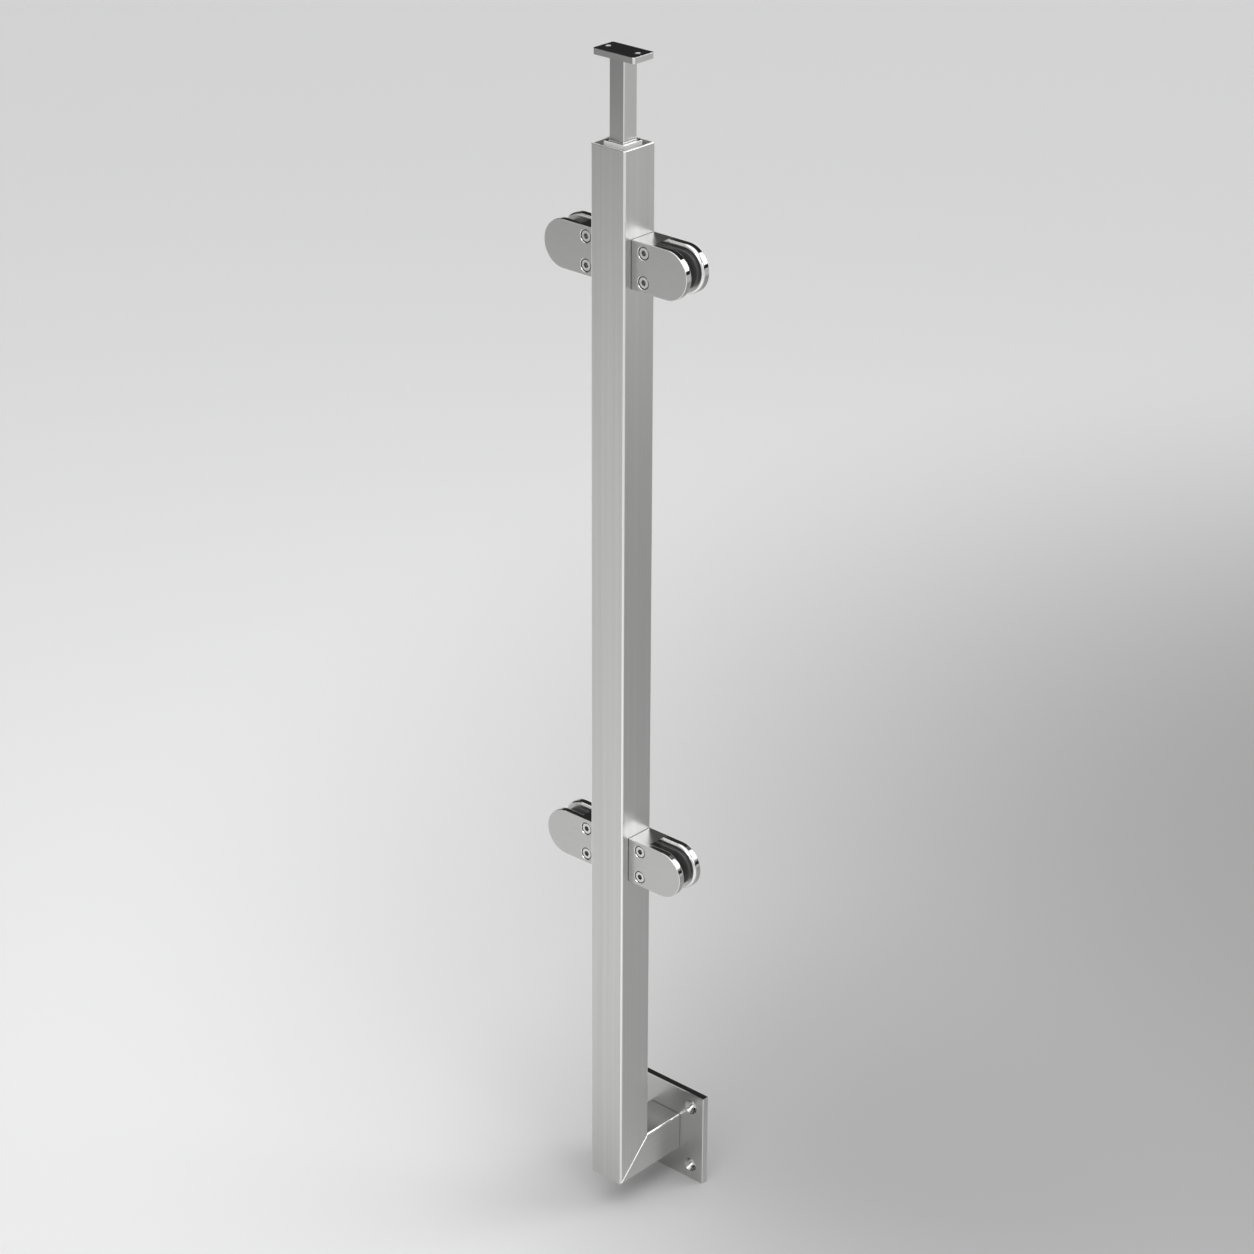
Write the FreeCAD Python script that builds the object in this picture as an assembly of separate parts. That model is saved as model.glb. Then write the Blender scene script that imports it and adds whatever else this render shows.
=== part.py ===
import FreeCAD, Part
import math
import os
from FreeCAD import Vector

# Glass railing post for the edge of a floor slab or a wall.
# A square tube turns through a mitre into a short arm, which is welded to a wall plate.
# Two pairs of clamps hold the glass panes beside the post, and a stem in its mouth carries the handrail.
#
# Millimetres. The origin is the middle of the wall plate's back face.
# X runs along the railing, +Y points into the wall and +Z is up.

# Square tube of the post and of its arm
tube_size = 40.0
tube_wall = 2.0
tube_corner = 2.0  # outside corner radius
bore_corner = 1.0  # inside corner radius
post_height = 1058.0  # underside of the foot to the rim
stand_off = 48.0  # clear space between the wall plate and the post
rim_break = 0.4  # chamfer round the open mouth
seam_depth = 0.4  # fine groove left along the mitre's ground weld

# Wall plate
plate_size = 100.0
plate_thickness = 7.0
plate_edge_break = 0.5
plate_hole = 9.0
plate_countersink = 15.0
plate_hole_inset = 16.0  # edge of the plate to the middle of a hole

# Handrail carrier: a plug in the post's mouth, a stem and a plate
plug_length = 30.0
plug_recess = 8.0  # the plug's shoulder lies this far below the rim
collar_wall = 3.5  # wall of the collar round the stem
collar_rise = 2.0  # the collar stands this far above the rim
collar_lead_in = 1.2  # chamfer inside the collar's mouth
plug_floor = 8.0  # what is left under the stem
stem_size = 17.0
stem_corner = 0.8
rail_rise = 82.0  # rim to the top of the handrail plate
rail_plate_length = 48.0
rail_plate_width = 26.5
rail_plate_thickness = 5.5
rail_plate_corner = 2.2
rail_plate_edge_break = 0.3
rail_hole = 5.2
rail_countersink = 9.0  # from below, where the handrail's screws go in
rail_hole_break = 0.8  # chamfer at the top of each hole
rail_hole_inset = 7.0  # end of the plate to the middle of a hole

# Glass clamps, D-shaped when seen from the front
clamp_length = 64.0
clamp_height = 46.0
clamp_offset = 4.0  # the middle of the clamps lies this far behind the middle of the post
clamp_edge_round = 0.7
jaw_thickness = 8.0
jaw_lead_in = 3.0  # radius inside the jaws, where the glass goes in
glass_thickness = 10.0
gasket_thickness = 2.0
gasket_inset = 5.5  # edge of a jaw to the edge of its gasket
gasket_edge_break = 0.5  # chamfer that leads the glass in
throat = 22.5  # flat end of a clamp to the bottom of its slot
upper_clamp_drop = 104.0  # rim to the middle of the upper clamps
lower_clamp_rise = 362.0  # underside of the foot to the middle of the lower clamps

# Low-head socket screws, M6, which hold each clamp's cover
cover_screw_inset = 14.0  # flat end of the clamp to the screws
cover_screw_edge = 9.5  # top or bottom of the clamp to the nearer screw
cover_screw_length = 15.0
cover_head = 11.2
cover_head_height = 4.0
cover_head_sunk = 0.6
cover_counterbore = 12.4
cover_bore_break = 0.4  # chamfer round each counterbore
cover_socket = 5.0

# Socket bolts, M6, and blind rivet nuts, which hold the clamps to the post
bolt_head = 10.0
bolt_head_height = 6.0
bolt_head_sunk = 1.0
bolt_counterbore = 11.0
bolt_socket = 5.0
bolt_reach = 11.0  # how far the bolt goes in past the post's face
nut_barrel = 9.0
nut_flange = 13.0
nut_flange_thickness = 1.0
nut_bulge = 11.5  # collar that forms behind the tube's wall
nut_bulge_length = 3.0
nut_length = 13.0  # post's face to the inner end

# Socket bolt, M8, which draws the stem down into the plug
stem_bolt_length = 24.0
stem_bolt_head = 13.0
stem_bolt_head_height = 8.0
stem_bolt_socket = 6.0

# Common to all fasteners and fits
m6 = 6.0
m8 = 8.0
bolt_play = 0.6  # a clearance hole is this much wider than its screw
thread_play = 0.1  # a threaded hole is this much wider than its screw
fit_gap = 0.05  # gap on each side of a piece that is pushed into another
shadow_gap = 0.5  # the outline of a butted end stands this far off what it meets
shadow_gap_depth = 1.2
tapped_run_out = 3.0  # a tapped hole goes this far past its screw
end_break = 0.5  # chamfers on screws and nuts
socket_share = 0.6  # depth of a hexagon socket as a share of its head
cut_past = 1.0  # cutting shapes run this far past the face that they open

# Sizes that follow from those above
tube_half = tube_size / 2
tube_bore = tube_size - 2 * tube_wall
post_y = -(plate_thickness + stand_off + tube_half)
foot_z = -tube_half
rim_z = foot_z + post_height
collar_size = stem_size + 2 * collar_wall
plug_top = rim_z - plug_recess
plug_bottom = plug_top - plug_length
stem_bottom = plug_bottom + plug_floor
collar_top = rim_z + collar_rise
rail_plate_bottom = rim_z + rail_rise - rail_plate_thickness
glass_slot = glass_thickness + 2 * gasket_thickness
clamp_thickness = 2 * jaw_thickness + glass_slot
clamp_half = clamp_thickness / 2
upper_clamp_z = rim_z - upper_clamp_drop
lower_clamp_z = foot_z + lower_clamp_rise
cover_screw_z = clamp_height / 2 - cover_screw_edge
cover_screw_seat = cover_head_sunk + cover_head_height  # depth below the clamp's front face
bolt_seat = throat - bolt_head_height - bolt_head_sunk  # distance from the post's face

ORIGIN = Vector(0, 0, 0)
RIGHT = Vector(1, 0, 0)
LEFT = Vector(-1, 0, 0)
TO_FRONT = Vector(0, -1, 0)
TO_WALL = Vector(0, 1, 0)
UP = Vector(0, 0, 1)
DOWN = Vector(0, 0, -1)


def near(a, b):
    return abs(a - b) < 1e-6


def on_post(height):
    """Point on the post's middle line."""
    return Vector(0, post_y, height)


def put(shape, place, axis=UP):
    """Copy of a shape, with its own origin at place and its own Z axis along axis."""
    placement = FreeCAD.Placement(place, FreeCAD.Rotation(UP, axis))
    return shape.transformed(placement.toMatrix(), copy=True)


def edges_where(shape, test):
    """Edges of a shape whose end points all pass a test."""
    return [edge for edge in shape.Edges if all(test(vertex.Point) for vertex in edge.Vertexes)]


def chamfer_top(shape, size, height):
    """Shape with its edges at Z = height chamfered."""
    return shape.makeChamfer(size, edges_where(shape, lambda point: near(point.z, height)))


def rounded_bar(width, depth, height, corner):
    """Bar that stands on Z = 0 about the Z axis, with its upright edges rounded."""
    bar = Part.makeBox(width, depth, height, Vector(-width / 2, -depth / 2, 0))
    upright = [edge for edge in bar.Edges if near(edge.CenterOfMass.z, height / 2)]
    return bar.makeFillet(corner, upright)


def drill(diameter, depth):
    """Cutting shape for a plain hole that goes down from Z = 0."""
    return Part.makeCylinder(diameter / 2, depth + cut_past, Vector(0, 0, -depth))


def countersunk_drill(diameter, head, depth):
    """Cutting shape for a hole of a given depth with a right-angled countersink at Z = 0."""
    sink = (head - diameter) / 2
    cone = Part.makeCone(diameter / 2, head / 2 + cut_past, sink + cut_past, Vector(0, 0, -sink))
    return drill(diameter, depth).fuse(cone)


def end_step(width, depth):
    """Cutting shape for the shadow gap round an end that lies at Z = 0 and faces up."""
    outside = Part.makeBox(width + cut_past, depth + cut_past, shadow_gap)
    inside = Part.makeBox(width - 2 * shadow_gap_depth, depth - 2 * shadow_gap_depth, shadow_gap)
    for box in (outside, inside):
        size = box.BoundBox
        box.translate(Vector(-size.XLength / 2, -size.YLength / 2, -shadow_gap))
    return outside.cut(inside)


def turned(profile):
    """Solid turned about the Z axis from (radius, height) points."""
    points = [Vector(radius, 0, height) for radius, height in profile]
    return Part.Face(Part.makePolygon(points + points[:1])).revolve(ORIGIN, UP, 360)


def hexagon_socket(across_flats, depth):
    """Cutting shape for a hexagon socket that goes down from Z = 0."""
    corner = across_flats / math.sqrt(3)
    points = [Vector(corner * math.cos(turn), corner * math.sin(turn), -depth)
              for turn in [math.radians(60 * step) for step in range(6)]]
    return Part.Face(Part.makePolygon(points + points[:1])).extrude(Vector(0, 0, depth + cut_past))


def socket_screw(diameter, length, head, head_height, socket):
    """Socket screw whose head sits on Z = 0, with its shank below."""
    shank = diameter / 2
    rim = head / 2
    blank = turned([
        (0, -length), (shank - end_break, -length), (shank, end_break - length), (shank, 0),
        (rim, 0), (rim, head_height - end_break), (rim - end_break, head_height), (0, head_height),
    ])
    return blank.cut(put(hexagon_socket(socket, socket_share * head_height), Vector(0, 0, head_height)))


# Welded frame

def mitre_wedge(side):
    """Prism on one side of the mitre: above it, where the post is, for +1, and below it for -1."""
    reach = tube_size
    outline = [(-reach, -reach), (reach, reach), (-side * reach, side * reach)]
    points = [Vector(-reach, post_y + y, z) for y, z in outline]
    return Part.Face(Part.makePolygon(points + points[:1])).extrude(Vector(2 * reach, 0, 0))


def mitre_seam():
    """Square rods laid corner first along both sides of the mitre, to cut the groove of its weld."""
    length = 2 * math.sqrt(2) * tube_size
    side = math.sqrt(2) * seam_depth
    rod = Part.makeBox(side, side, length, Vector(-side / 2, -side / 2, -length / 2))
    rod.rotate(ORIGIN, UP, 45)
    along_mitre = Vector(0, 1, 1)
    return Part.makeCompound([put(rod, Vector(x, post_y, 0), along_mitre) for x in (-tube_half, tube_half)])


def square_tube(outside, length):
    """Tube that stands on Z = 0 about the Z axis, bored from its outer shape."""
    bore = rounded_bar(tube_bore, tube_bore, length + 2 * cut_past, bore_corner)
    return outside.cut(put(bore, Vector(0, 0, -cut_past)))


def make_post_tube():
    outside = rounded_bar(tube_size, tube_size, post_height, tube_corner)
    outside = chamfer_top(outside, rim_break, post_height)
    tube = put(square_tube(outside, post_height), on_post(foot_z))
    tube = tube.cut(mitre_wedge(-1)).cut(mitre_seam())
    nut_hole = Part.makeCylinder(nut_barrel / 2 + fit_gap, tube_size + 2 * cut_past)
    for height in (upper_clamp_z, lower_clamp_z):
        start = Vector(-tube_half - cut_past, post_y + clamp_offset, height)
        tube = tube.cut(put(nut_hole, start, RIGHT))
    return tube


def make_arm_tube():
    length = stand_off + tube_size
    outside = rounded_bar(tube_size, tube_size, length, tube_corner)
    outside = outside.cut(put(end_step(tube_size, tube_size), Vector(0, 0, length)))
    tube = put(square_tube(outside, length), Vector(0, post_y - tube_half, 0), TO_WALL)
    return tube.cut(mitre_wedge(1)).cut(mitre_seam())


def make_wall_plate():
    half = plate_size / 2
    plate = Part.makeBox(plate_size, plate_thickness, plate_size, Vector(-half, -plate_thickness, -half))
    front_edges = edges_where(plate, lambda point: near(point.y, -plate_thickness))
    plate = plate.makeChamfer(plate_edge_break, front_edges)
    hole = countersunk_drill(plate_hole, plate_countersink, plate_thickness + cut_past)
    reach = half - plate_hole_inset
    for x in (-reach, reach):
        for z in (-reach, reach):
            plate = plate.cut(put(hole, Vector(x, -plate_thickness, z), TO_FRONT))
    return plate


# Handrail carrier

def make_rail_plug():
    width = tube_bore - 2 * fit_gap
    socket_width = stem_size + 2 * fit_gap
    collar_height = collar_top - plug_top
    plug = put(rounded_bar(width, width, plug_length, bore_corner), on_post(plug_bottom))
    collar = rounded_bar(collar_size, collar_size, collar_height, stem_corner)
    collar = chamfer_top(collar, rim_break, collar_height)
    plug = plug.fuse(put(collar, on_post(plug_top))).removeSplitter()
    socket = rounded_bar(socket_width, socket_width, collar_top - stem_bottom + cut_past, stem_corner)
    plug = plug.cut(put(socket, on_post(stem_bottom)))
    inside = collar_size / 2 - collar_lead_in
    mouth = edges_where(plug, lambda point: near(point.z, collar_top)
                        and max(abs(point.x), abs(point.y - post_y)) < inside)
    plug = plug.makeChamfer(collar_lead_in, mouth)
    return plug.cut(put(drill(m8 + bolt_play, plug_floor + cut_past), on_post(stem_bottom)))


def make_rail_stem():
    stem = rounded_bar(stem_size, stem_size, rail_plate_bottom - stem_bottom, stem_corner)
    thread_depth = stem_bolt_length - plug_floor + tapped_run_out
    stem = stem.cut(put(drill(m8 + thread_play, thread_depth), ORIGIN, DOWN))
    return put(stem, on_post(stem_bottom))


def make_rail_plate():
    plate = rounded_bar(rail_plate_length, rail_plate_width, rail_plate_thickness, rail_plate_corner)
    plate = chamfer_top(plate, rail_plate_edge_break, rail_plate_thickness)
    depth = rail_plate_thickness + cut_past
    from_below = countersunk_drill(rail_hole, rail_countersink, depth)
    from_above = countersunk_drill(rail_hole, rail_hole + 2 * rail_hole_break, depth)
    reach = rail_plate_length / 2 - rail_hole_inset
    for x in (-reach, reach):
        plate = plate.cut(put(from_below, Vector(x, 0, 0), DOWN))
        plate = plate.cut(put(from_above, Vector(x, 0, rail_plate_thickness)))
    return put(plate, on_post(rail_plate_bottom))


def make_stem_bolt():
    bolt = socket_screw(m8, stem_bolt_length, stem_bolt_head, stem_bolt_head_height, stem_bolt_socket)
    return put(bolt, on_post(plug_bottom), DOWN)


# Glass clamp, with X pointing away from the post's face, Y to the wall, and its origin on that face

def d_plate(start, end, height, front, thickness):
    """Plate with a flat end at X = start and a half-round end that reaches X = end."""
    radius = height / 2
    corners = [Vector(end - radius, front, -radius), Vector(start, front, -radius),
               Vector(start, front, radius), Vector(end - radius, front, radius)]
    round_end = Part.Arc(corners[3], Vector(end, front, 0), corners[0]).toShape()
    outline = Part.Wire(Part.makePolygon(corners).Edges + [round_end])
    return Part.Face(outline).extrude(Vector(0, thickness, 0))


def d_edges(plate, side):
    """Edges of a D-shaped plate at Y = side, apart from the one at its flat end."""
    flat_end = plate.BoundBox.XMin
    return [edge for edge in edges_where(plate, lambda point: near(point.y, side))
            if not near(edge.CenterOfMass.x, flat_end)]


def flange_relief():
    """Cutting shape for the shallow recess that takes the rivet nut's flange."""
    return put(drill(nut_flange + bolt_play, nut_flange_thickness + fit_gap), ORIGIN, LEFT)


def make_root(front, thickness):
    """Block between the clamp's flat end and the bottom of its slot."""
    return Part.makeBox(throat, thickness, clamp_height, Vector(0, front, -clamp_height / 2))


def make_jaw(outside, inside):
    """Jaw between two Y planes, with its inner edge rounded beyond the throat."""
    front = min(outside, inside)
    jaw = d_plate(0, clamp_length, clamp_height, front, jaw_thickness)
    jaw = jaw.makeFillet(jaw_lead_in, d_edges(jaw, inside))
    return jaw.fuse(make_root(front, jaw_thickness)).removeSplitter()


def clamp_end_step():
    return put(end_step(clamp_height, clamp_thickness), ORIGIN, LEFT)


def make_clamp_cover():
    parting = jaw_thickness - clamp_half
    cover = make_jaw(-clamp_half, parting)
    cover = cover.makeFillet(clamp_edge_round, d_edges(cover, -clamp_half)).cut(clamp_end_step())
    mouth = cover_counterbore + 2 * cover_bore_break
    counterbore = countersunk_drill(cover_counterbore, mouth, cover_screw_seat)
    hole = counterbore.fuse(drill(m6 + bolt_play, jaw_thickness + cut_past))
    for z in (-cover_screw_z, cover_screw_z):
        cover = cover.cut(put(hole, Vector(cover_screw_inset, -clamp_half, z), TO_FRONT))
    return cover.cut(flange_relief())


def make_clamp_body():
    parting = jaw_thickness - clamp_half
    back_jaw = make_jaw(clamp_half, clamp_half - jaw_thickness)
    body = back_jaw.fuse(make_root(parting, glass_slot)).removeSplitter()
    body = body.makeFillet(clamp_edge_round, d_edges(body, clamp_half)).cut(clamp_end_step())
    thread_depth = cover_screw_seat + cover_screw_length - jaw_thickness + tapped_run_out
    for z in (-cover_screw_z, cover_screw_z):
        thread = drill(m6 + thread_play, thread_depth)
        body = body.cut(put(thread, Vector(cover_screw_inset, parting, z), TO_FRONT))
    bolt_hole = drill(bolt_counterbore, throat - bolt_seat).fuse(drill(m6 + bolt_play, throat + cut_past))
    body = body.cut(put(bolt_hole, Vector(throat, 0, 0), RIGHT))
    return body.cut(flange_relief())


def make_gasket(front, glass_side):
    """Rubber sheet on the inner face of a jaw, bevelled where the glass slides in."""
    height = clamp_height - 2 * gasket_inset
    gasket = d_plate(throat, clamp_length - gasket_inset, height, front, gasket_thickness)
    return gasket.makeChamfer(gasket_edge_break, d_edges(gasket, glass_side))


def make_cover_screws():
    screw = socket_screw(m6, cover_screw_length, cover_head, cover_head_height, cover_socket)
    seat = cover_screw_seat - clamp_half
    places = [Vector(cover_screw_inset, seat, z) for z in (-cover_screw_z, cover_screw_z)]
    return Part.makeCompound([put(screw, place, TO_FRONT) for place in places])


def make_post_bolt():
    bolt = socket_screw(m6, bolt_seat + bolt_reach, bolt_head, bolt_head_height, bolt_socket)
    return put(bolt, Vector(bolt_seat, 0, 0), RIGHT)


def make_rivet_nut():
    bore = (m6 + thread_play) / 2
    barrel = nut_barrel / 2
    bulge_end = tube_wall + nut_bulge_length
    flange = nut_flange / 2
    bulge = nut_bulge / 2
    nut = turned([
        (bore, nut_flange_thickness), (flange, nut_flange_thickness), (flange, 0), (barrel, 0),
        (barrel, -tube_wall), (bulge, -tube_wall - end_break), (bulge, end_break - bulge_end),
        (barrel, -bulge_end), (barrel, -nut_length), (bore, -nut_length),
    ])
    return put(nut, ORIGIN, RIGHT)


def make_clamp():
    inner_front = jaw_thickness - clamp_half
    inner_back = clamp_half - jaw_thickness
    return {
        "clamp_body": make_clamp_body(),
        "clamp_cover": make_clamp_cover(),
        "front_gasket": make_gasket(inner_front, inner_front + gasket_thickness),
        "back_gasket": make_gasket(inner_back - gasket_thickness, inner_back - gasket_thickness),
        "cover_screws": make_cover_screws(),
        "post_bolt": make_post_bolt(),
        "rivet_nut": make_rivet_nut(),
    }


# Whole post

nodes = {
    "post_tube": make_post_tube(),
    "arm_tube": make_arm_tube(),
    "wall_plate": make_wall_plate(),
    "rail_plug": make_rail_plug(),
    "rail_stem": make_rail_stem(),
    "rail_plate": make_rail_plate(),
    "stem_bolt": make_stem_bolt(),
}
for level, height in (("upper", upper_clamp_z), ("lower", lower_clamp_z)):
    for name, piece in make_clamp().items():
        right = put(piece, Vector(tube_half, post_y + clamp_offset, height))
        nodes[f"{level}_right_{name}"] = right
        nodes[f"{level}_left_{name}"] = right.mirror(ORIGIN, RIGHT)

os.makedirs("parts", exist_ok=True)
for name, shape in nodes.items():
    shape.exportStep(f"parts/{name}.step")
    state = "valid" if shape.isValid() else "not valid"
    print(f"{name}: {len(shape.Solids)} solid(s), {shape.Volume:.1f} mm3, {state}")
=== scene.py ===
import math

import bpy
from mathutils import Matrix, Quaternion, Vector


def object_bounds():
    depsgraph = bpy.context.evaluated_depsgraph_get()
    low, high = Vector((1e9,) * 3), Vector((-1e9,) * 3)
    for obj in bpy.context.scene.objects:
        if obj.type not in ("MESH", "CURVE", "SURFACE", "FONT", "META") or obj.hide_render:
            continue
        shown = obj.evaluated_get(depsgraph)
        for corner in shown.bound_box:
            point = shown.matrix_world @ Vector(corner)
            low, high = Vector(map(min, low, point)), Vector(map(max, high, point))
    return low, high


# Looks of a glass railing post: finishes for the CAD pieces, a floor, soft light and a camera.
# Metres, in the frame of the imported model: X along the railing, +Y into the wall, +Z up.

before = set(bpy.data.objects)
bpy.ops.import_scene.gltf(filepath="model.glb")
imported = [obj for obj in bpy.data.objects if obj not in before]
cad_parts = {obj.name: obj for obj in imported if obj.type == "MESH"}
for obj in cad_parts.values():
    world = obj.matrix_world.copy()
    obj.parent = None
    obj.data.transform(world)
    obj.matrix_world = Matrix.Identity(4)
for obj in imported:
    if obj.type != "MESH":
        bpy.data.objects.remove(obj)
cad_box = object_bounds()

# Camera
CAMERA_PLACE = (1.9481, -2.2389, 1.9590)
CAMERA_AZIMUTH = 41.893  # degrees, from the front towards +X
CAMERA_ELEVATION = 25.425
CAMERA_ROLL = 0.248
PICTURE_SIDE = 1254  # pixels
FOCAL_PIXELS = 3506.4
SENSOR = 36.0  # mm

# Floor: pale, with soft areas of painted shade, which the post's faces mirror, the second a painted shadow
# by the post's foot. Each area has its middle, the reach of its full shade, the reach of its end, and its
# brightness.
FLOOR_SIDE = 90.0
FLOOR_PALE = 0.94
FLOOR_PAINTED_SHADES = (
    ((0.60, 1.10), 0.5, 1.9, 0.43),
    ((0.22, 0.22), 0.05, 0.6, 0.45),
    ((-4.30, -4.80), 2.2, 4.1, 0.32),
)
FLOOR_ROUGHNESS = 0.5
FLOOR_SPECULAR = 0.3

# Sky: a pale dome, brightest overhead, with a dark panel behind the post, which its polished tops mirror,
# and a low dark strip that goes on from the panel along the horizon. Sides are in degrees from +Y towards
# +X, and feathers are the degrees over which they fade. A foot or head is the pair of heights of a direction
# between which the brightness changes.
SKY = 0.52
SKY_TOP = 1.4
SKY_TOP_FOOT = (0.72, 0.85)
PANEL = 0.03
PANEL_SIDES = (-110.0, 21.0)
PANEL_FEATHERS = (18.0, 3.0)
PANEL_FOOT = (0.10, 0.17)
PANEL_HEAD = (0.80, 0.95)
STRIP_SIDES = (15.0, 85.0)
STRIP_FEATHERS = (3.0, 3.0)
STRIP_HEAD = (0.16, 0.24)

# Softboxes: place, aim, width, height, spread in degrees, and radiance along the axis
SOFTBOXES = {
    "side": ((1.9, 2.3, 2.45), (0, 0, 0.8), 2.4, 2.0, 70, 3.0),
    "face": ((0.9, -2.6, 2.4), (0, 0, 0.8), 1.6, 1.6, 80, 2.5),
    "seam": ((2.0, -0.85, 1.4), (0, 0, 0), 0.8, 0.8, 60, 2.6),
}

# Colours
WHITE = (1.0, 1.0, 1.0)
STEEL = (0.585, 0.585, 0.580)
POST_STEEL = (0.620, 0.620, 0.615)
CLAMP_STEEL = (0.550, 0.550, 0.543)
# A colour much brighter than steel on edges and rims: a painted highlight
EDGE_PAINTED_HIGHLIGHT = (0.95, 0.95, 0.94)
# A colour darker than steel in the plates' holes: painted shade
HOLE_PAINTED_SHADE = (0.46, 0.46, 0.455)
CUT_STEEL = (0.92, 0.92, 0.91)
SCREW_STEEL = (0.68, 0.68, 0.67)
RUBBER = (0.070, 0.070, 0.071)

# Shares of a normal along an axis between which a surface starts to count as something
SQUARE = (0.955, 0.995)  # as a face square to the axis
CLAMP_FACE = (0.90, 0.97)  # as a flat face of a clamp or of a cover screw
CLAMP_RIM = (0.25, 0.45)  # as the rim between a clamp's face and its edge
CLAMP_TOP = (0.96, 0.995)  # as the flat top or underside of a clamp

# Brushed steel: fine lines in broader bands
LINE_WIDTH = 0.0008
LINE_LENGTH = 0.30
LINE_DETAIL = 3.0
LINE_TINT = 0.035  # how much lighter and darker than the mean
LINE_DULLING = 0.03  # how much rougher and smoother
LINE_BUMP = 0.06
LINE_DEPTH = 0.0002
BAND_WIDTH = 0.006
BAND_LENGTH = 1.5
BAND_DETAIL = 2.0
BAND_SHARE = 0.4
LINE_REACH = (0.35, 0.65)  # values of the noise that give the darkest and the lightest line
EDGE_ROUGHNESS = 0.15
HOLE_ROUGHNESS = 0.22
# The holes' finish includes their painted shade
PLATE_BORDER = (0.0020, 0.0015)  # distances from a plate's sides between which the holes' finish ends

# Clamps: the tops are duller near the post on the right, and polished on the left
CLAMP_LINE_WIDTH = 0.0006
CLAMP_LINE_LENGTH = 0.01
CLAMP_LINE_BUMP = 0.02
CLAMP_LINE_DEPTH = 0.0001
CLAMP_TINTS = (0.98, 1.02)
CLAMP_EDGE_TINT = 1.1
CLAMP_FACE_ROUGHNESS = (0.32, 0.29)
CLAMP_EDGE_ROUGHNESS = 0.05
CLAMP_RIM_ROUGHNESS = 0.2
LEFT_TO_RIGHT = (-0.01, 0.01)  # where the finish of the left turns into that of the right
RIGHT_TOP = (0.040, 0.052)  # where a right top goes from dull to smooth
RIGHT_TOP_ROUGHNESS = (0.30, 0.16)
LEFT_TOP_ROUGHNESS = 0.08

# Screws and rubber: even noise, with its scale per metre
SPOT_REACH = (0.3, 0.7)  # values of the noise at which the roughness is at its ends
SCREW_SCALE = 900.0
SCREW_DETAIL = 3.0
SCREW_TINTS = (0.93, 1.05)
SCREW_ROUGHNESS = (0.24, 0.16)
# The darker tint paints shade on the cover screws' rims and socket walls
COVER_SCREW_PAINTED_SHADE_TINTS = (0.2, 1.05)  # rims and socket walls, and flat faces
COVER_SCREW_ROUGHNESS = 0.2
RUBBER_SCALE = 120.0
RUBBER_DETAIL = 3.0
RUBBER_TINTS = (0.8, 1.35)
RUBBER_ROUGHNESS = (0.36, 0.46)
RUBBER_GRAIN_SCALE = 1600.0
RUBBER_GRAIN_DETAIL = 4.0
RUBBER_GRAIN_BUMP = 0.25
RUBBER_GRAIN_DEPTH = 0.0001


# Node helpers

def set_inputs(tree, node, inputs):
    """Sets a node's inputs to values, or joins them to sockets."""
    for name, value in inputs.items():
        if isinstance(value, bpy.types.NodeSocket):
            tree.links.new(value, node.inputs[name])
        else:
            node.inputs[name].default_value = value


def add(tree, kind, inputs=None, **settings):
    """New node with its settings and inputs."""
    node = tree.nodes.new(kind)
    for name, value in settings.items():
        setattr(node, name, value)
    set_inputs(tree, node, inputs or {})
    return node


def coordinates(tree, kind):
    """Coordinates of one kind, such as Object or Normal."""
    return add(tree, "ShaderNodeTexCoord").outputs[kind]


def split(tree, vector):
    """The parts of a vector, by the names X, Y and Z."""
    return add(tree, "ShaderNodeSeparateXYZ", {0: vector}).outputs


def math_node(tree, operation, first, second=0.0):
    return add(tree, "ShaderNodeMath", {0: first, 1: second}, operation=operation).outputs[0]


def multiply(tree, first, second):
    return math_node(tree, "MULTIPLY", first, second)


def map_range(tree, value, limits, ends):
    """Number that goes smoothly from one end to the other while a value goes through its limits."""
    inputs = {"Value": value, "From Min": limits[0], "From Max": limits[1],
              "To Min": ends[0], "To Max": ends[1]}
    return add(tree, "ShaderNodeMapRange", inputs, interpolation_type="SMOOTHSTEP").outputs["Result"]


def rise(tree, value, limits):
    """0 below the limits and 1 above them."""
    return map_range(tree, value, limits, (0.0, 1.0))


def fall(tree, value, limits):
    """1 below the limits and 0 above them."""
    return map_range(tree, value, limits, (1.0, 0.0))


def mix(tree, factor, first, second):
    """Number that goes from first to second, which are sockets 2 and 3 of the node."""
    return add(tree, "ShaderNodeMix", {"Factor": factor, 2: first, 3: second}).outputs[0]


def mix_colour(tree, factor, first, second):
    """Colour that goes from first to second, which are sockets 6 and 7 of the node."""
    inputs = {"Factor": factor, 6: first, 7: second}
    return add(tree, "ShaderNodeMix", inputs, data_type="RGBA").outputs[2]


def shade(colour, share=1.0):
    """Colour made lighter or darker, with an alpha of 1."""
    return tuple(share * part for part in colour) + (1.0,)


def mix_tints(tree, factor, colour, tints):
    """Colour that goes from one tint to another, each a share of its brightness."""
    return mix_colour(tree, factor, *(shade(colour, tint) for tint in tints))


def noise(tree, scale, detail):
    """Even noise."""
    inputs = {"Vector": coordinates(tree, "Object"), "Scale": scale, "Detail": detail}
    return add(tree, "ShaderNodeTexNoise", inputs).outputs["Fac"]


def stretched_noise(tree, axis, width, length, detail):
    """Noise drawn out along one axis."""
    scale = [1 / width] * 3
    scale["XYZ".index(axis)] = 1 / length
    inputs = {0: coordinates(tree, "Object"), 1: scale}
    place = add(tree, "ShaderNodeVectorMath", inputs, operation="MULTIPLY").outputs[0]
    return add(tree, "ShaderNodeTexNoise", {"Vector": place, "Scale": 1.0, "Detail": detail}).outputs["Fac"]


def bump(tree, height, strength, depth):
    """Normal of a surface with fine relief."""
    inputs = {"Height": height, "Strength": strength, "Distance": depth}
    return add(tree, "ShaderNodeBump", inputs).outputs["Normal"]


# Masks

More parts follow.
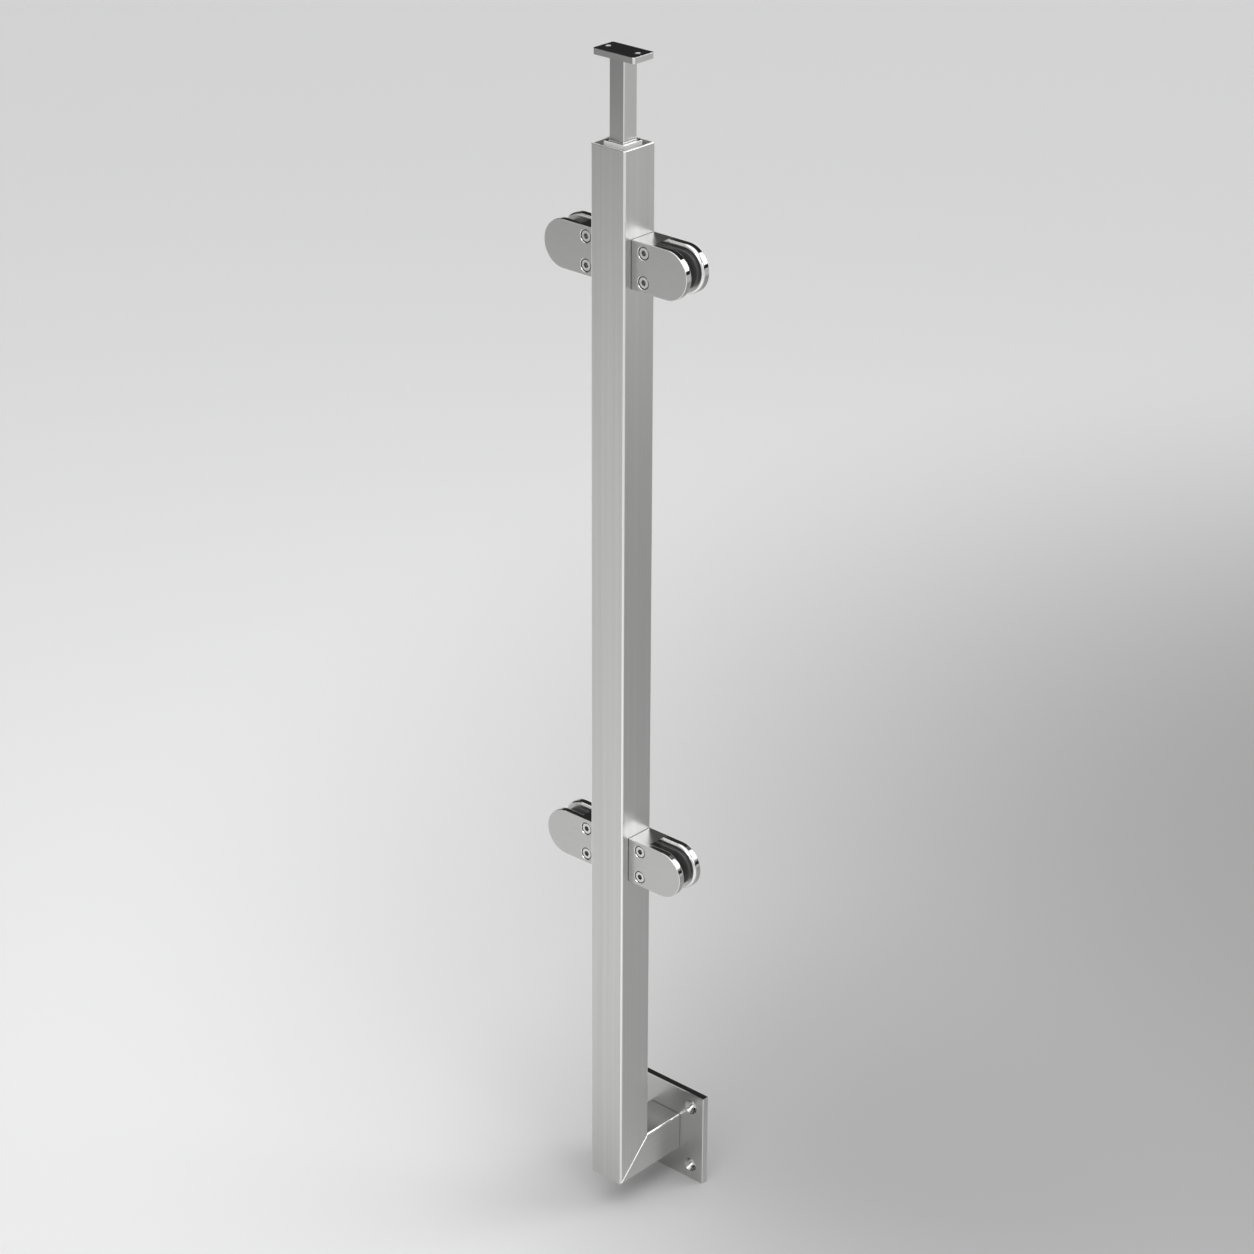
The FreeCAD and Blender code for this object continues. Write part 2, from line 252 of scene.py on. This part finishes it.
def face_share(tree, axis):
    """How far a surface faces along an axis, from 0 to 1."""
    return math_node(tree, "ABSOLUTE", split(tree, coordinates(tree, "Normal"))[axis])


def corner_mask(tree):
    """1 on rounded and bevelled edges, and 0 on faces that lie square to the axes."""
    shares = [face_share(tree, axis) for axis in "XYZ"]
    most = math_node(tree, "MAXIMUM", math_node(tree, "MAXIMUM", shares[0], shares[1]), shares[2])
    return fall(tree, most, SQUARE)


def hole_mask(tree, plate):
    """1 on a plate and in its holes, and 0 along its border."""
    low, high = Vector(plate.bound_box[0]), Vector(plate.bound_box[6])  # opposite corners
    inputs = {0: coordinates(tree, "Object"), 1: (low + high) / 2}
    away = split(tree, add(tree, "ShaderNodeVectorMath", inputs, operation="SUBTRACT").outputs[0])
    half = dict(zip("XYZ", (high - low) / 2))
    thin = min(half, key=half.get)
    inside = []
    for axis in "XYZ".replace(thin, ""):
        far = math_node(tree, "ABSOLUTE", away[axis])
        inside.append(fall(tree, far, [half[axis] - border for border in PLATE_BORDER]))
    return multiply(tree, *inside)


# Materials

def new_material(name):
    """Empty material with a shader: gives the material, its node tree and the shader."""
    material = bpy.data.materials.new(name)
    material.use_nodes = True
    tree = material.node_tree
    return material, tree, tree.nodes["Principled BSDF"]


def brushed_steel(name, axis, colour, roughness, anisotropic, end_colour, end_roughness, grain=1.0,
                  metallic=1.0, plate=None):
    """Steel brushed along one axis; edges polished and given a painted highlight, ends in their own finish, a
    plate's holes in painted shade.
    """
    material, tree, shader = new_material(name)
    lines = stretched_noise(tree, axis, LINE_WIDTH, LINE_LENGTH, LINE_DETAIL)
    bands = stretched_noise(tree, axis, BAND_WIDTH, BAND_LENGTH, BAND_DETAIL)
    streaks = mix(tree, BAND_SHARE, lines, bands)
    ends = rise(tree, face_share(tree, axis), SQUARE)
    edges = corner_mask(tree)
    tint, dulling = LINE_TINT * grain, LINE_DULLING * grain
    face_colour = mix_tints(tree, rise(tree, streaks, LINE_REACH), colour, (1 - tint, 1 + tint))
    face_colour = mix_colour(tree, ends, face_colour, shade(end_colour))
    face_roughness = map_range(tree, streaks, LINE_REACH, (roughness + dulling, roughness - dulling))
    face_roughness = mix(tree, ends, face_roughness, end_roughness)
    # Edges get a colour brighter than steel, a painted highlight, on top of their lower roughness
    edge_colour, edge_roughness = shade(EDGE_PAINTED_HIGHLIGHT), EDGE_ROUGHNESS
    # Edges inside a plate's holes get a darker colour instead: painted shade
    if plate:
        in_holes = hole_mask(tree, plate)
        edge_colour = mix_colour(tree, in_holes, edge_colour, shade(HOLE_PAINTED_SHADE))
        edge_roughness = mix(tree, in_holes, edge_roughness, HOLE_ROUGHNESS)
    set_inputs(tree, shader, {
        "Base Color": mix_colour(tree, edges, face_colour, edge_colour),
        "Roughness": mix(tree, edges, face_roughness, edge_roughness),
        "Metallic": mix(tree, ends, metallic, 1.0) if metallic < 1 else 1.0,
        "Anisotropic": anisotropic,
        "Normal": bump(tree, lines, LINE_BUMP * grain, LINE_DEPTH),
        "Tangent": add(tree, "ShaderNodeTangent", direction_type="RADIAL", axis=axis).outputs["Tangent"],
    })
    return material


def clamp_steel():
    """Satin faces, mirror-polished edges, rims with a painted highlight, and tops that differ from left to
    right.
    """
    material, tree, shader = new_material("clamp_steel")
    lines = stretched_noise(tree, "X", CLAMP_LINE_WIDTH, CLAMP_LINE_LENGTH, LINE_DETAIL)
    facing = face_share(tree, "Y")
    satin = rise(tree, facing, CLAMP_FACE)
    rim = rise(tree, facing, CLAMP_RIM)
    top = rise(tree, face_share(tree, "Z"), CLAMP_TOP)
    along = split(tree, coordinates(tree, "Object"))["X"]
    face_colour = mix_tints(tree, rise(tree, lines, LINE_REACH), CLAMP_STEEL, CLAMP_TINTS)
    # The rims take the painted highlight colour
    edge_colour = mix_colour(tree, rim, shade(CLAMP_STEEL, CLAMP_EDGE_TINT), shade(EDGE_PAINTED_HIGHLIGHT))
    right_roughness = map_range(tree, along, RIGHT_TOP, RIGHT_TOP_ROUGHNESS)
    top_roughness = mix(tree, rise(tree, along, LEFT_TO_RIGHT), LEFT_TOP_ROUGHNESS, right_roughness)
    edge_roughness = mix(tree, top, CLAMP_EDGE_ROUGHNESS, top_roughness)
    edge_roughness = mix(tree, rim, edge_roughness, CLAMP_RIM_ROUGHNESS)
    face_roughness = map_range(tree, lines, LINE_REACH, CLAMP_FACE_ROUGHNESS)
    set_inputs(tree, shader, {
        "Base Color": mix_colour(tree, satin, edge_colour, face_colour),
        "Roughness": mix(tree, satin, edge_roughness, face_roughness),
        "Metallic": 1.0,
        "Normal": bump(tree, lines, mix(tree, satin, 0.0, CLAMP_LINE_BUMP), CLAMP_LINE_DEPTH),
    })
    return material


def screw_steel():
    """Bright turned steel with a fine speckle."""
    material, tree, shader = new_material("screw_steel")
    speckle = noise(tree, SCREW_SCALE, SCREW_DETAIL)
    set_inputs(tree, shader, {
        "Base Color": mix_tints(tree, speckle, SCREW_STEEL, SCREW_TINTS),
        "Roughness": map_range(tree, speckle, SPOT_REACH, SCREW_ROUGHNESS),
        "Metallic": 1.0,
    })
    return material


def cover_screw_steel():
    """Bright faces, with painted shade on the rims and socket walls."""
    material, tree, shader = new_material("cover_screw_steel")
    flat = rise(tree, face_share(tree, "Y"), CLAMP_FACE)
    set_inputs(tree, shader, {
        # Rims and socket walls get the dark tint: painted shade
        "Base Color": mix_tints(tree, flat, SCREW_STEEL, COVER_SCREW_PAINTED_SHADE_TINTS),
        "Roughness": COVER_SCREW_ROUGHNESS,
        "Metallic": 1.0,
    })
    return material


def rubber():
    """Matt black rubber with a fine grain."""
    material, tree, shader = new_material("rubber_pad")
    bloom = noise(tree, RUBBER_SCALE, RUBBER_DETAIL)
    grain = noise(tree, RUBBER_GRAIN_SCALE, RUBBER_GRAIN_DETAIL)
    set_inputs(tree, shader, {
        "Base Color": mix_tints(tree, bloom, RUBBER, RUBBER_TINTS),
        "Roughness": map_range(tree, bloom, SPOT_REACH, RUBBER_ROUGHNESS),
        "Normal": bump(tree, grain, RUBBER_GRAIN_BUMP, RUBBER_GRAIN_DEPTH),
    })
    return material


def floor_paint():
    """Pale studio floor with soft areas of painted shade, one a painted shadow by the post's foot."""
    material, tree, shader = new_material("floor_paint")
    place = coordinates(tree, "Object")
    brightness = FLOOR_PALE
    # Each area paints shade into the floor's brightness
    for middle, full, end, painted_shade in FLOOR_PAINTED_SHADES:
        inputs = {0: place, 1: middle + (0.0,)}
        reach = add(tree, "ShaderNodeVectorMath", inputs, operation="DISTANCE").outputs["Value"]
        brightness = mix(tree, rise(tree, reach, (full, end)), painted_shade, brightness)
    colour = add(tree, "ShaderNodeCombineColor", {part: brightness for part in ("Red", "Green", "Blue")})
    set_inputs(tree, shader, {
        "Base Color": colour.outputs["Color"],
        "Roughness": FLOOR_ROUGHNESS,
        "Specular IOR Level": FLOOR_SPECULAR,
    })
    return material


# Finishes, by the end of a node's name

post_finish = brushed_steel("post_steel", "Z", POST_STEEL, roughness=0.34, anisotropic=0.7,
                            end_colour=CUT_STEEL, end_roughness=0.55)
arm_finish = brushed_steel("arm_steel", "Y", STEEL, roughness=0.32, anisotropic=0.7,
                           end_colour=CUT_STEEL, end_roughness=0.55)
plate_finish = brushed_steel("plate_steel", "Z", STEEL, roughness=0.30, anisotropic=0.3,
                             end_colour=STEEL, end_roughness=0.10, grain=0.2,
                             plate=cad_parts["wall_plate"])
plug_finish = brushed_steel("plug_steel", "Z", CUT_STEEL, roughness=0.50, anisotropic=0.0,
                            end_colour=STEEL, end_roughness=0.20, grain=0.5, metallic=0.15)
stem_finish = brushed_steel("stem_steel", "Z", STEEL, roughness=0.18, anisotropic=0.3,
                            end_colour=STEEL, end_roughness=0.24, grain=0.5)
rail_finish = brushed_steel("rail_steel", "Z", STEEL, roughness=0.22, anisotropic=0.3,
                            end_colour=STEEL, end_roughness=0.08, grain=0.5,
                            plate=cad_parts["rail_plate"])
clamp_finish = clamp_steel()
screw_finish = screw_steel()
cover_screw_finish = cover_screw_steel()
rubber_finish = rubber()

FINISHES = {
    "post_tube": post_finish,
    "arm_tube": arm_finish,
    "wall_plate": plate_finish,
    "rail_plug": plug_finish,
    "rail_stem": stem_finish,
    "rail_plate": rail_finish,
    "stem_bolt": screw_finish,
    "clamp_body": clamp_finish,
    "clamp_cover": clamp_finish,
    "front_gasket": rubber_finish,
    "back_gasket": rubber_finish,
    "cover_screws": cover_screw_finish,
    "post_bolt": screw_finish,
    "rivet_nut": screw_finish,
}
for name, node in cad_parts.items():
    finish = next(finish for ending, finish in FINISHES.items() if name.endswith(ending))
    for slot in node.material_slots:
        slot.material = finish


# Floor, light and camera

def lay_floor():
    mesh = bpy.data.meshes.new("floor")
    half = FLOOR_SIDE / 2
    corners = [(-half, -half, 0), (half, -half, 0), (half, half, 0), (-half, half, 0)]
    mesh.from_pydata(corners, [], [(0, 1, 2, 3)])
    floor = bpy.data.objects.new("floor", mesh)
    floor.location = (0, 0, cad_box[0].z)
    mesh.materials.append(floor_paint())
    bpy.context.scene.collection.objects.link(floor)


def softbox(name, place, aim, width, height, spread, radiance):
    """Rectangular lamp with a grid, which the camera doesn't see."""
    half = math.radians(spread) / 2
    lamp = bpy.data.lights.new(name, "AREA")
    lamp.shape = "RECTANGLE"
    lamp.size = width
    lamp.size_y = height
    lamp.spread = 2 * half
    # The power at which a lamp with this spread has the given radiance along its axis
    lamp.energy = 4 * radiance * width * height * (1 - half / math.tan(half))
    lamp_object = bpy.data.objects.new(name, lamp)
    lamp_object.location = place
    lamp_object.rotation_mode = "QUATERNION"
    lamp_object.rotation_quaternion = (Vector(aim) - Vector(place)).to_track_quat("-Z", "Y")
    lamp_object.visible_camera = False
    bpy.context.scene.collection.objects.link(lamp_object)


def sector(tree, turn, sides, feathers):
    """1 between two sides of the sky, with a fade beyond each."""
    left, right = (math.radians(side) for side in sides)
    left_fade, right_fade = (math.radians(feather) for feather in feathers)
    past_left = rise(tree, turn, (left - left_fade, left))
    before_right = fall(tree, turn, (right, right + right_fade))
    return multiply(tree, past_left, before_right)


def set_world():
    """Pale dome with a bright top, a dark panel and a low dark strip."""
    world = bpy.data.worlds.new("studio")
    world.use_nodes = True
    tree = world.node_tree
    direction = split(tree, coordinates(tree, "Generated"))
    height = direction["Z"]
    turn = math_node(tree, "ARCTAN2", direction["X"], direction["Y"])
    panel = multiply(tree, sector(tree, turn, PANEL_SIDES, PANEL_FEATHERS), rise(tree, height, PANEL_FOOT))
    panel = multiply(tree, panel, fall(tree, height, PANEL_HEAD))
    strip = multiply(tree, sector(tree, turn, STRIP_SIDES, STRIP_FEATHERS), fall(tree, height, STRIP_HEAD))
    sides = mix(tree, math_node(tree, "MAXIMUM", panel, strip), SKY, PANEL)
    strength = mix(tree, rise(tree, height, SKY_TOP_FOOT), sides, SKY_TOP)
    set_inputs(tree, tree.nodes["Background"], {"Color": shade(WHITE), "Strength": strength})
    bpy.context.scene.world = world


def set_camera():
    azimuth, elevation = math.radians(CAMERA_AZIMUTH), math.radians(CAMERA_ELEVATION)
    back = Vector((math.sin(azimuth) * math.cos(elevation),
                   -math.cos(azimuth) * math.cos(elevation), math.sin(elevation)))
    lens = bpy.data.cameras.new("camera")
    lens.sensor_width = SENSOR
    lens.lens = SENSOR * FOCAL_PIXELS / PICTURE_SIDE
    camera = bpy.data.objects.new("camera", lens)
    camera.location = CAMERA_PLACE
    camera.rotation_mode = "QUATERNION"
    roll = Quaternion((0, 0, 1), math.radians(CAMERA_ROLL))
    camera.rotation_quaternion = (-back).to_track_quat("-Z", "Y") @ roll
    bpy.context.scene.collection.objects.link(camera)
    bpy.context.scene.camera = camera


lay_floor()
set_world()
for name, settings in SOFTBOXES.items():
    softbox(name, *settings)
set_camera()
bpy.context.scene.view_settings.view_transform = "Standard"
